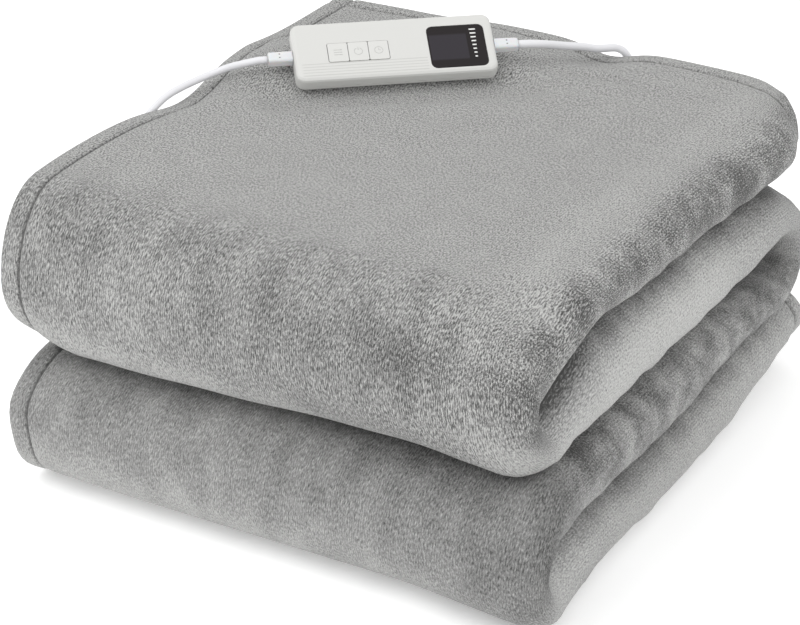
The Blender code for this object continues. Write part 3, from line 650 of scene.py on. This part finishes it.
def with_hems(lengths, whole):
    """The lengths between the two hem zones, with the fine steps at each hem."""
    between_hems = lengths[(lengths > HEM_ZONE) & (lengths < whole - HEM_ZONE)]
    return np.unique(np.round(np.concatenate([
        between_hems, NEAR_HEM - HEM_ROUND, whole + HEM_ROUND - NEAR_HEM]), 6))


# spacing on each run and on the fold after it
across = with_hems(graded(across_steps(), (
    (0.0044, 0.0044), (0.0180, 0.0056), (0.0180, 0.0056), (0.0180, 0.0))), ACROSS)
along = with_hems(graded(along_steps(), (
    (0.0043, 0.0040), (0.0090, 0.0080), (0.0090, 0.0045), (0.0090, 0.0))), ALONG)
count = len(across)
ring_across = np.concatenate([across, [ACROSS + HEM_ROUND], across[::-1], [-HEM_ROUND]])
facing = np.concatenate([np.ones(count), [0.0], -np.ones(count), [0.0]])
edge_across = np.minimum(ring_across, ACROSS - ring_across) + HEM_ROUND
edge_along = np.minimum(along, ALONG - along) + HEM_ROUND
thickness = hem_thickness(edge_across)[None, :] * hem_thickness(edge_along)[:, None]
depths = facing[None, :] * thickness * CLOTH / 2


def skin_waves(across, along):
    """Depth by which the outermost layer waves, from its hem to past the folded edge."""
    fold_start = across_steps()[0][0]
    fold_end = fold_start + math.pi * OUTER_FOLD
    skin = ease(across, 0.02, 0.07) * (1.0 - ease(across, fold_end, fold_end + 0.04))
    edge = ease(across, fold_start - 0.05, fold_start)
    underside = ease(along, ALONG - FOOT_Y - 0.02, ALONG - FOOT_Y + 0.03)
    skin = skin * (1.0 - underside * (1.0 - ease(across, fold_start, fold_start + 0.02)))
    whole = 2 * np.pi
    slow = (np.sin(whole * (along / 0.083 + across / 0.31))
            * np.sin(whole * (across / 0.117 - along / 0.27)))
    quick = (np.sin(whole * (along / 0.0371 + 0.6 * np.sin(across / 0.021)))
             * np.sin(whole * along / 0.219 + 1.3))
    return skin * (0.0005 * slow + edge * 0.0007 * quick)


def soft_creases(across, along):
    """Depth of a few short creases on the folded edge and the front folds, listed one by one."""
    fold_start = across_steps()[0][0]
    depth = 0.0
    # lengths across and along, turn, length and width of each crease, and its depth
    for middle_a, middle_b, turn, length, width, drop in (
            (fold_start + 0.012, 1.270, 1.25, 0.022, 0.0035, 0.0016),
            (fold_start + 0.020, 1.235, 1.00, 0.018, 0.0035, 0.0010),
            (fold_start + 0.006, 0.950, 1.40, 0.026, 0.0045, 0.0012),
            (fold_start + 0.018, 0.860, 1.80, 0.020, 0.0040, 0.0012),
            (fold_start + 0.046, 0.690, 1.60, 0.018, 0.0035, 0.0011),
            (fold_start + 0.010, 0.120, 1.90, 0.022, 0.0045, 0.0013),
            (fold_start - 0.006, 0.060, 1.20, 0.020, 0.0040, 0.0012),
            (fold_start - 0.014, 0.385, 0.35, 0.022, 0.0035, 0.0016),
            (fold_start - 0.020, 0.405, 0.20, 0.020, 0.0030, 0.0014),
            (fold_start - 0.030, 1.145, 0.25, 0.026, 0.0045, 0.0016)):
        run = (across - middle_a) * math.cos(turn) + (along - middle_b) * math.sin(turn)
        side = -(across - middle_a) * math.sin(turn) + (along - middle_b) * math.cos(turn)
        profile = hump(side, 0.0, width) - 0.5 * hump(side, 2 * width, width)
        depth = depth - drop * hump(run, 0.0, length) * profile
    return depth


grid_across, grid_along = np.meshgrid(ring_across, along)
skin = skin_waves(grid_across, grid_along) + soft_creases(grid_across, grid_along)
cloth = sheet_points(ring_across, depths + skin, along)
# the underside lies flat on the table, so no point of it is below z = 0
cloth[..., 2] = np.maximum(cloth[..., 2], 0.0)
rows, columns = cloth.shape[:2]
faces = grid_faces(rows, columns).tolist()
ends = [[k, k + 1, 2 * count - k - 1, 2 * count - k] for k in range(count - 1)]
ends += [[0, 2 * count, 2 * count + 1], [count - 1, count, count + 1]]
faces += [face[::-1] for face in ends] + [[(rows - 1) * columns + k for k in face] for face in ends]
flat_place = np.stack(np.broadcast_arrays(ring_across[None, :], along[:, None]), -1)
print("blanket grid:", rows, "x", columns, "=", 2 * len(faces), "triangles")

# %% [markdown]
# ### How the pile lies, and painted light and shade
# Brushed pile looks light where it leans towards the eye and dark where it leans away. Each
# point of the cloth carries three numbers: how light the pile lies there, how patchy it is
# and how deep its strokes are. The lightness also holds painted light and shade: painted
# shade on faces turned from the lamps, in the crevices and under the upper tier, painted
# highlights and sheen on the lips, and painted bounce light along the bottom. Hands have
# brushed the folded edges and the front folds, so those are the patchy places. Painting an
# image would do this too, but numbers on the points need no file and stay with the cloth.


# %% How the pile lies, and painted light and shade
# patches of brushed pile, of painted shade in the hollows and under the upper tier, and painted
# highlights
# soft patches: place beside the fold's start and along, reach each way, change of lightness
PILE_AND_PAINTED_LIGHT_PATCHES = (
    (0.032, 0.125, 0.016, 0.030, -0.24), (0.028, 0.190, 0.012, 0.024, -0.12),
    (0.012, 0.225, 0.008, 0.020, -0.10), (0.026, 0.290, 0.010, 0.026, -0.10),
    (0.020, 0.368, 0.014, 0.018, -0.22), (0.006, 1.096, 0.018, 0.022, -0.20),
    (0.022, 0.150, 0.016, 0.050, -0.12), (0.030, 0.418, 0.020, 0.015, -0.32),
    (0.050, 0.452, 0.020, 0.038, -0.44), (0.050, 0.500, 0.010, 0.030, -0.16),
    (0.052, 0.590, 0.010, 0.026, -0.12), (-0.014, 0.335, 0.014, 0.024, 0.06),
    (-0.060, 0.392, 0.050, 0.014, -0.16), (-0.022, 0.240, 0.016, 0.050, 0.05),
    (-0.070, 1.138, 0.060, 0.011, -0.18), (0.018, 1.168, 0.024, 0.026, -0.18),
    (-0.285, 1.150, 0.030, 0.014, -0.10), (0.012, 0.400, 0.014, 0.014, -0.14),
    (0.004, 0.300, 0.006, 0.020, 0.10), (-0.006, 1.205, 0.016, 0.016, -0.34),
    (0.016, 1.240, 0.012, 0.026, -0.16), (0.010, 1.040, 0.012, 0.030, -0.10),
    (-0.245, 0.392, 0.030, 0.012, 0.10), (-0.300, 0.372, 0.020, 0.014, -0.08),
)


def blend(value, target, share):
    """The value, moved a share of the way to the target."""
    return value + (target - value) * share


def pile_lay_and_painted_light(across, along):
    """Lightness with painted light and shade, patchiness and stroke depth by place on the cloth,
    leaf by leaf.
    """
    runs = along_steps()
    fold_start = across_steps()[0][0]
    first = runs[0][0]
    second = first + math.pi * TURN + runs[1][0]
    third = second + math.pi * TURN + runs[2][0]
    half_fold = math.pi * TURN / 2
    front_fold, rear_fold, low_fold = first + half_fold, second + half_fold, third + half_fold
    side = across - fold_start

    # the top leaf: even and light, with a painted highlight just before its folded edge,
    # and painted shade with ruffled pile along the edge
    edge = ease(side, -0.004, 0.014)
    light = 0.63 + 0.06 * hump(side, -0.022, 0.014)
    light, patchy = blend(light, 0.40, edge), 0.10 + 0.70 * edge
    # the front fold of the upper tier: painted shade darkens its face and a belt above the lower
    # lip, and a painted sheen lightens the lip
    on_fold = ease(along, first - 0.03, first + 0.02) * (1 - 0.7 * edge)
    light = blend(light, 0.50 + 0.05 * hump(side, -0.030, 0.040), on_fold)
    patchy = blend(patchy, 0.34, on_fold)
    deep = blend(1.9, 1.35 + 0.40 * hump(side, -0.020, 0.050), on_fold)
    shade_belt = hump(along, front_fold - 0.006, 0.014) * hump(across, 0.21, 0.10)
    light = light - 0.10 * shade_belt * (1 - edge)
    lip_start = front_fold - 0.002 + 0.080 * across
    painted_sheen_lip = ease(along, lip_start, lip_start + 0.016) * (1 - ease(side, -0.070, -0.010))
    light = blend(light, 0.76, painted_sheen_lip)
    # the second leaf's folded edge lies smooth and light; near the top leaf it is ruffled and
    # painted dark as the shade of the crevice under that leaf, and it darkens towards the rear
    bright = ease(along, front_fold + 0.004, front_fold + 0.026) * ease(side, -0.030, 0.002)
    ruffle_and_shade = ease(side, 0.038, 0.056)
    rearward = ease(along, 0.62, 0.72)
    light = blend(light, 0.84 - 0.44 * ruffle_and_shade - 0.22 * rearward, bright)
    patchy = blend(patchy, 0.08 + 0.6 * ruffle_and_shade, bright)
    deep = blend(deep, 1.0, bright)
    # the third leaf is ruffled all over and painted dark as the shade under the upper tier
    ruffled_and_shaded = ease(along, rear_fold - 0.02, rear_fold + 0.03)
    light, patchy = blend(light, 0.42, ruffled_and_shaded), blend(patchy, 0.80, ruffled_and_shaded)
    deep = blend(deep, 1.0, ruffled_and_shaded)
    # the lower tier's front fold, darker towards the right, then the lowest leaf, smooth again,
    # with painted shade where its folded edge turns under
    low = ease(along, third - 0.02, third + 0.02)
    light = blend(light, 0.53 - 0.12 * ease(across, 0.05, 0.30), low)
    patchy = blend(patchy, 0.32, low)
    deep = blend(deep, 0.85, low)
    below = ease(along, low_fold - 0.012, low_fold + 0.016)
    # painted bounce light from the floor along the lower tier's bottom, fading at the right end
    light = light + 0.22 * below * (1 - 0.8 * ease(across, 0.24, 0.36))
    smooth = ease(along, low_fold + 0.006, low_fold + 0.030) * ease(side, -0.030, 0.002)
    light = blend(light, 0.70 - 0.24 * ruffle_and_shade, smooth)
    patchy = blend(patchy, 0.12 + 0.4 * ruffle_and_shade, smooth)
    for beside, place, reach_beside, reach_along, change in PILE_AND_PAINTED_LIGHT_PATCHES:
        light = light + change * hump(side, beside, reach_beside) * hump(along, place, reach_along)
    return light, patchy, deep


light, patchy, deep = pile_lay_and_painted_light(grid_across, grid_along)
SEAM_SHADE, SEAM_WIDTH = 0.8, 0.0009
seam_across = hump(edge_across, STITCHES, SEAM_WIDTH)[None, :] * (edge_along > STITCHES)[:, None]
seam_along = hump(edge_along, STITCHES, SEAM_WIDTH)[:, None] * (edge_across > STITCHES)[None, :]
stitched = SEAM_SHADE * np.maximum(seam_across, seam_along)
print("pile: lightness", light.min().round(2), "to", light.max().round(2))

# %% [markdown]
# ### Flannel
# The flannel is knitted in rows 1.6 millimetres apart that run along the folded edge. Its
# brushed fibres lie over the rows in short slanting strokes. Single fibres are too fine to
# show from here, so the strokes are drawn about a millimetre long, and the tufts two wide.
# Hair strands could be grown instead, but they would not survive the export.

# %% Flannel
ROW_PITCH, COLUMN_PITCH = 0.0016, 0.0019
STROKES_PER_METRE = (1100.0, 700.0, 1.0)     # over and along the slant
STROKE_SLANT = math.radians(35)              # to the rows
TUFTS_PER_METRE = 560.0
PATCHES_PER_METRE = 44.0
MIDDLE_GRAIN = 1.355                         # the grain's mean, taken off before it is added

# brushed polyester: no gloss, a light edge where the pile is seen along its fibres
flannel, nodes, shader = new_finish("brushed_polyester_flannel", "A3A3A1", 0.95, Sheen_Weight=0.20,
                                    Sheen_Roughness=0.5, Specular_IOR_Level=0.1)
uv = add(nodes, "ShaderNodeUVMap", uv_map="flat_cloth")
# rows: straight waves whose phase wanders, so that they break up like brushed knit
wander = {"Vector": (uv, "UV"), "Distortion": 3.5, "Detail": 2.0, "Detail Scale": 2.6}
rows_wave = add(nodes, "ShaderNodeTexWave", {**wander, "Scale": 2 * math.pi / (20 * ROW_PITCH)},
                wave_type="BANDS", bands_direction="X")
columns_wave = add(nodes, "ShaderNodeTexWave",
                   {**wander, "Scale": 2 * math.pi / (20 * COLUMN_PITCH)},
                   wave_type="BANDS", bands_direction="Y")
# strokes: noise stretched along a slanting line
slant = add(nodes, "ShaderNodeMapping", {
    "Vector": (uv, "UV"), "Rotation": (0.0, 0.0, STROKE_SLANT), "Scale": STROKES_PER_METRE})
strokes = add(nodes, "ShaderNodeTexNoise", {
    "Vector": (slant, "Vector"), "Scale": 1.0, "Detail": 2.0, "Roughness": 0.8})
# tufts: the pile's fibres clump together every two millimetres
tufts = add(nodes, "ShaderNodeTexNoise", {
    "Vector": (uv, "UV"), "Scale": TUFTS_PER_METRE, "Detail": 1.0})
# patches: where hands have brushed the pile one way or the other
patches = add(nodes, "ShaderNodeTexNoise", {
    "Vector": (uv, "UV"), "Scale": PATCHES_PER_METRE, "Detail": 8.0, "Roughness": 0.66})
# the lightness on the points holds the pile's lay together with its painted light and shade
pile_and_light_attribute = add(nodes, "ShaderNodeAttribute", attribute_name="pile_lay_and_painted_light")
parts = add(nodes, "ShaderNodeSeparateColor", {"Color": (pile_and_light_attribute, "Color")})


def mathed(operation, a, b):
    """One arithmetic step on two sockets or numbers, in the finish that is being made."""
    return add(nodes, "ShaderNodeMath", {0: a, 1: b}, operation=operation), "Value"


def mix_colours(factor, first, second):
    """From the first colour to the second by a factor."""
    mix = add(nodes, "ShaderNodeMix", {"Factor": factor, "A": first, "B": second},
              data_type="RGBA")
    return mix.outputs["Result"]


# red is the lightness, with its painted light and shade; green sets how far the patches swing it
swing = mathed("MULTIPLY", mathed("SUBTRACT", (patches, "Fac"), 0.5), 2.4)
tone = mathed("ADD", (parts, "Red"), mathed("MULTIPLY", swing, (parts, "Green")))
knit = mathed("MULTIPLY", (rows_wave, "Fac"), (columns_wave, "Fac"))
row_part = mathed("MULTIPLY", (rows_wave, "Fac"), 0.16)
stroke_part = mathed("MULTIPLY", (strokes, "Fac"), 2.00)
tuft_part = mathed("MULTIPLY", (tufts, "Fac"), 0.55)
grain = mathed("ADD", mathed("ADD", row_part, stroke_part), tuft_part)
grain = mathed("MULTIPLY", mathed("SUBTRACT", grain, MIDDLE_GRAIN), (pile_and_light_attribute, "Alpha"))
tone = mathed("ADD", tone, grain)
ramp = add(nodes, "ShaderNodeValToRGB", {"Fac": tone})
ramp.color_ramp.elements[0].color = colour("484847")
ramp.color_ramp.elements[1].color = colour("BDBDBB")
ramp.color_ramp.elements.new(0.5).color = colour("8A8A89")
with_seam = mix_colours((parts, "Blue"), (ramp, "Color"), colour("5A5A59"))
nodes.links.new(with_seam, shader.inputs["Base Color"])
pile_height = mathed("ADD", (strokes, "Fac"), (tufts, "Fac"))
height = mathed("ADD", mathed("MULTIPLY", knit, 0.35), pile_height)
bump = add(nodes, "ShaderNodeBump", {"Height": height, "Strength": 0.70, "Distance": 0.0012})
nodes.links.new(bump.outputs["Normal"], shader.inputs["Normal"])

blanket = mesh_piece("folded_flannel", cloth, faces, flannel, "stack", ("blanket",),
                     uv=flat_place)
# the points carry the lightness with its painted light and shade, the patchiness, the stitches and
# the stroke depth
pile = blanket.data.color_attributes.new("pile_lay_and_painted_light", "FLOAT_COLOR", "POINT")
values = np.stack([light, patchy, stitched, deep + np.zeros_like(light)], -1)
pile.data.foreach_set("color", values.astype(np.float32).ravel())
print("flannel laid")

# %% [markdown]
# ## The handset
# Its shell is matt white ABS with fine moulded grooves below the buttons. They are shallow,
# so they are a bump with painted shade: their colour is darkened in the handset's own
# coordinates, which the mapping node gets by undoing the turn and the tilt that laid it on
# the blanket. Cut into the mesh, grooves this fine would need many more faces and look the same.

# %% Handset finish
def in_handset(tree):
    """Shader coordinates along the handset, up its face and out of its face, in metres."""
    place = add(tree, "ShaderNodeTexCoord")
    local = add(tree, "ShaderNodeMapping", {
        "Vector": (place, "Object"), "Location": tuple(handset_seat),
        "Rotation": (HANDSET_TILT, 0.0, HANDSET_TURN)}, vector_type="TEXTURE")
    return add(tree, "ShaderNodeSeparateXYZ", {"Vector": (local, "Vector")})


def between(value, low, high, soft):
    """1 between two numbers and 0 outside them, with soft ends."""
    rise = add(nodes, "ShaderNodeMapRange", {
        "Value": value, "From Min": low - soft, "From Max": low + soft})
    fall = add(nodes, "ShaderNodeMapRange", {
        "Value": value, "From Min": high - soft, "From Max": high + soft,
        "To Min": 1.0, "To Max": 0.0})
    return mathed("MULTIPLY", (rise, "Result"), (fall, "Result"))


GROOVE_PITCH, GROOVES = 0.00235, 6
LOWEST_GROOVE = -0.0224             # up the face
GROOVE_REACH = 0.0640               # from the handset's middle to each side

# white ABS, moulded against a fine spark-eroded tool: matt, with a soft broad highlight
abs_white, nodes, shader = new_finish("moulded_abs_white", "CDCDCA", 0.42)
local = in_handset(nodes)
wave = mathed("SINE", mathed("MULTIPLY", (local, "Y"), 2 * math.pi / GROOVE_PITCH), 0.0)
line = add(nodes, "ShaderNodeMapRange", {"Value": wave, "From Min": 0.45, "From Max": 1.0})
highest_groove = LOWEST_GROOVE + GROOVES * GROOVE_PITCH - 0.0012
band = between((local, "Y"), LOWEST_GROOVE, highest_groove, 0.0002)
reach = between((local, "X"), -GROOVE_REACH, GROOVE_REACH, 0.0010)
face = between((local, "Z"), HANDSET_DEPTH - 0.0012, HANDSET_DEPTH + 0.0020, 0.0002)
# below the window only the lowest rows go on
under_window = between((local, "X"), 0.0215, 0.0700, 0.0002)
low_rows = between((local, "Y"), -0.0300, -0.0212, 0.0001)
allowed = mathed("MAXIMUM", mathed("SUBTRACT", 1.0, under_window), low_rows)
groove = mathed("MULTIPLY", mathed("MULTIPLY", (line, "Result"), band),
                mathed("MULTIPLY", reach, face))
groove = mathed("MULTIPLY", groove, allowed)
# painted shade: the grooves' colour is darkened
shell_with_groove_shade = mix_colours(mathed("MULTIPLY", groove, 0.5), colour("CDCDCA"), colour("A8A8A4"))
nodes.links.new(shell_with_groove_shade, shader.inputs["Base Color"])
bump = add(nodes, "ShaderNodeBump", {"Height": groove, "Strength": 0.5, "Distance": 0.00018},
           invert=True)
nodes.links.new(bump.outputs["Normal"], shader.inputs["Normal"])
dress(abs_white, "handset_front", "handset_back")

# the keys are the same ABS from a finer tool: a shade lighter, with the same matt look
key_white, nodes, shader = new_finish("moulded_abs_keys", "CFCFCC", 0.45)
dress(key_white, "button_heat", "button_power", "button_timer")
print("shell and keys finished")

# %% [markdown]
# ### Strain reliefs and window
# A strain relief is moulded in soft PVC round the cord, with slots that let it bend. The
# window is a smoked acrylic pane with a display behind it, so a slightly lighter panel shows
# through. Slots and panel are places in the handset's coordinates, as the grooves are; the
# slots are dark marks, painted shade in place of their depth.

# %% Strain reliefs and window
# soft PVC, moulded: a little light passes into it, so its edges look soft
relief_white, nodes, shader = new_finish("soft_pvc_relief", "D6D6D8", 0.38, Subsurface_Weight=0.15)
local = in_handset(nodes)
outward = mathed("ABSOLUTE", (local, "X"), 0.0)
sideways = mathed("ABSOLUTE", (local, "Y"), 0.0)
middle_of_relief = HANDSET_LENGTH / 2 + 0.55 * RELIEF_LENGTH
slots = mathed("MULTIPLY",
               between(outward, middle_of_relief - 0.0005, middle_of_relief + 0.0005, 0.0001),
               between(sideways, 0.0010, 0.0019, 0.0001))
# painted shade: the slots are dark marks on the relief, with no depth
slot_painted_shade = mix_colours(slots, colour("D6D6D8"), colour("6E6E70"))
nodes.links.new(slot_painted_shade, shader.inputs["Base Color"])
dress(relief_white, "relief_left", "relief_right")

# smoked acrylic, cast: nearly black and smooth, with little reflection under soft light
window, nodes, shader = new_finish("smoked_acrylic_window", "241F20", 0.10, Specular_IOR_Level=0.20)
local = in_handset(nodes)
panel = mathed("MULTIPLY", between((local, "X"), 0.0244, 0.0502, 0.0003),
               between((local, "Y"), -0.0139, 0.0072, 0.0008))
window_tone = mix_colours(panel, colour("221E1F"), colour("322F34"))
nodes.links.new(window_tone, shader.inputs["Base Color"])
dress(window, "display_window")
print("handset finished")

# %% [markdown]
# ### Printed marks
# Pad printing leaves strips of ink five hundredths of a millimetre proud of the face. The
# keys carry plain symbols for heat, power and timer, and the display a column of level
# marks. A picture on the face could carry them too, but strips stay sharp from any distance
# and each symbol can ride on its own key.


# %% Printed marks
INK = 0.00005
KEY_TOP = HANDSET_DEPTH + 0.0003
KEYS = {"button_heat": -0.0387, "button_power": -0.0248, "button_timer": -0.0109}
KEY_ROW = -0.0025
SYMBOL_RADIUS, SYMBOL_LINE = 0.0028, 0.00038
LEVEL_PLACE, LEVEL_LINE = 0.0550, 0.00110
LEVELS = 8


def stroke(points, width, height):
    """A flat closed strip that follows points on the face: width across, ink's thickness high."""
    points = np.asarray(points, float)
    ahead = np.gradient(points, axis=0)
    ahead /= np.linalg.norm(ahead, axis=1)[:, None]
    side = np.stack([-ahead[:, 1], ahead[:, 0]], 1) * width / 2
    left, right = points + side, points - side
    corners = ((left, height), (right, height), (right, height + INK), (left, height + INK))
    return np.stack([np.column_stack([edge, np.full(len(edge), level)])
                     for edge, level in corners], 1)


def arc(middle, radius, start, end, steps=24):
    """Part of a circle: middle + radius (cos t, sin t) from a start to an end in degrees."""
    turn = np.radians(np.linspace(start, end, steps))
    return np.stack([middle[0] + radius * np.cos(turn), middle[1] + radius * np.sin(turn)], 1)


def print_marks(name, strokes, width, height, material, body):
    """Joins strokes into one printed piece that rides on a body."""
    points, faces = [], []
    for path in strokes:
        rings = stroke(path, width, height)
        offset = len(points)
        faces += [[offset + k for k in face] for face in capped(rings)]
        points += rings.reshape(-1, 3).tolist()
    return mesh_piece(name, on_handset(points), faces, material, body)


# pad-printing ink dries matt: grey on the keys, nearly white on the window
ink_grey, nodes, shader = new_finish("pad_print_grey", "B8B8B5", 0.6)
ink_white, nodes, shader = new_finish("pad_print_white", "ECECEA", 0.6)
heat_x, power_x, timer_x = KEYS.values()
bars = [[(heat_x + step, KEY_ROW + up) for step in (-SYMBOL_RADIUS, 0.0, SYMBOL_RADIUS)]
        for up in (-0.002, 0.0, 0.002)]
ring = arc((power_x, KEY_ROW), SYMBOL_RADIUS, 115, 425)
tick = [(power_x, KEY_ROW + up) for up in (0.0012, 0.0024, 0.0036)]
clock = arc((timer_x, KEY_ROW), SYMBOL_RADIUS, 0, 352)
hands = [(timer_x, KEY_ROW + 0.0017), (timer_x, KEY_ROW), (timer_x + 0.0014, KEY_ROW)]
for name, strips, key in (("heat_symbol", bars, "heat_key"),
                          ("power_symbol", [ring, tick], "power_key"),
                          ("timer_symbol", [clock, hands], "timer_key")):
    print_marks(name, strips, SYMBOL_LINE, KEY_TOP, ink_grey, key)
level_rows = zip(np.linspace(-0.0125, 0.0105, LEVELS), np.linspace(0.0008, 0.0022, LEVELS))
levels = [[(LEVEL_PLACE - half, up), (LEVEL_PLACE, up), (LEVEL_PLACE + half, up)]
          for up, half in level_rows]
print_marks("level_marks", levels, LEVEL_LINE, HANDSET_DEPTH - 0.0001, ink_white, "stack")
print("marks printed")

# %% [markdown]
# ## Floor
# A roll of matt white paper, swept up behind. It is a plain square here, wide enough to fill
# the picture, and glows a little so that it stays white under the stack's own shade.

# %% Floor
FLOOR_REACH = 8
FLOOR_DROP = 0.0002                 # below the stack's underside, so that the two don't meet

# matt uncoated paper: no highlight
floor_finish, nodes, shader = new_finish("matt_paper_sweep", "FFFFFF", 0.9, Emission_Strength=0.22)
floor_mesh = bpy.data.meshes.new("floor")
floor_mesh.from_pydata([(x * FLOOR_REACH, y * FLOOR_REACH, 0)
                        for x, y in ((-1, -1), (1, -1), (1, 1), (-1, 1))], [], [(0, 1, 2, 3)])
floor_mesh.materials.append(floor_finish)
floor = link("floor", floor_mesh)
floor.location.z = -FLOOR_DROP
print("floor:", 2 * FLOOR_REACH, "m wide")
